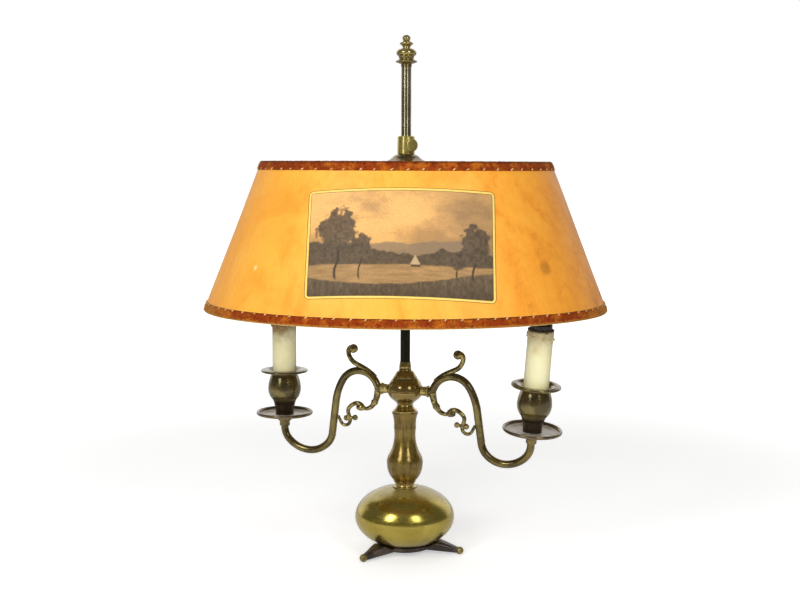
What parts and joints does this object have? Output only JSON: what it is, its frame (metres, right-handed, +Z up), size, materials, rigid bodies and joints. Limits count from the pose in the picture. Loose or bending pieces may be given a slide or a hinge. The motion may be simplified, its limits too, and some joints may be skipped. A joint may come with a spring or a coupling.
{
  "type": "table lamp",
  "caption": "Brass table lamp with bent candle arms under an oval drum shade, which slides and turns on an upright rod and is locked by a thumb screw.",
  "frame": {"origin": "on the floor under the axis of the column", "axes": "+Z up, X along the shade's long axis, and the picture on the shade faces -Y"},
  "size_m": [0.404, 0.33, 0.5199],
  "materials": {
    "polished_brass": "polished",
    "aged_brass": "aged, satin",
    "light_brass": "satin",
    "dark_bronze": "dark, satin",
    "parchment": "matte, mottled",
    "velvet": "velvet",
    "sleeve": "satin",
    "bakelite": "satin",
    "insulation": "matte",
    "iron": "rough",
    "steel": "plain",
    "white_block": "matte"
  },
  "bodies": {
    "stand": {"arm_hub": "polished_brass", "arm_lead_left": "insulation", "arm_lead_right": "insulation", "arm_nipple_left": "light_brass", "arm_nipple_right": "light_brass", "arm_tube_left": "aged_brass", "arm_tube_right": "aged_brass", "ball_body": "polished_brass", "ballast_weight": "iron", "baluster": "polished_brass", "candle_cup_left": "polished_brass", "candle_cup_right": "polished_brass", "candle_pipe_left": "steel", "candle_pipe_right": "steel", "candle_sleeve_left": "sleeve", "candle_sleeve_right": "sleeve", "column_nut": "steel", "cup_nut_left": "steel", "cup_nut_right": "steel", "drip_pan_left": "polished_brass", "drip_pan_right": "polished_brass", "end_ferrule_left": "aged_brass", "end_ferrule_right": "aged_brass", "finial": "aged_brass", "foot_nut": "steel", "foot_washer": "steel", "hub_cap": "dark_bronze", "inlet_bush": "light_brass", "lampholder_left": "bakelite", "lampholder_right": "bakelite", "lower_scroll_left": "aged_brass", "lower_scroll_right": "aged_brass", "mains_lead": "insulation", "neck_collar": "dark_bronze", "rod": "dark_bronze", "rod_ferrule": "light_brass", "rod_nut": "steel", "screw_shell_left": "light_brass", "screw_shell_right": "light_brass", "terminal_block": "white_block", "threaded_pipe": "steel", "tripod_foot": "dark_bronze", "upper_scroll_left": "aged_brass", "upper_scroll_right": "aged_brass"},
    "carrier": {"shade_clamp": "light_brass", "clamp_ring": "light_brass"},
    "screw": {"thumb_screw": "light_brass"},
    "shade": {"dome_cap": "dark_bronze", "shade_fitter": "steel", "bottom_wire": "steel", "shade_skin": "parchment", "bottom_trim": "velvet", "top_trim": "velvet", "top_wire": "steel"}
  },
  "joints": [
    {"name": "shade_height", "type": "slide", "parent": "stand", "child": "carrier", "axis": [0, 0, 1], "range_m": [-0.03, 0.066]},
    {"name": "shade_turn", "type": "hinge", "parent": "carrier", "child": "shade", "pos_m": [0, 0, 0.396], "axis": [0, 0, 1], "continuous": true},
    {"name": "screw_turn", "type": "hinge", "parent": "carrier", "child": "screw", "pos_m": [0, 0, 0.412], "axis": [0.454, -0.891, 0], "range_deg": [0, 540]}
  ]
}
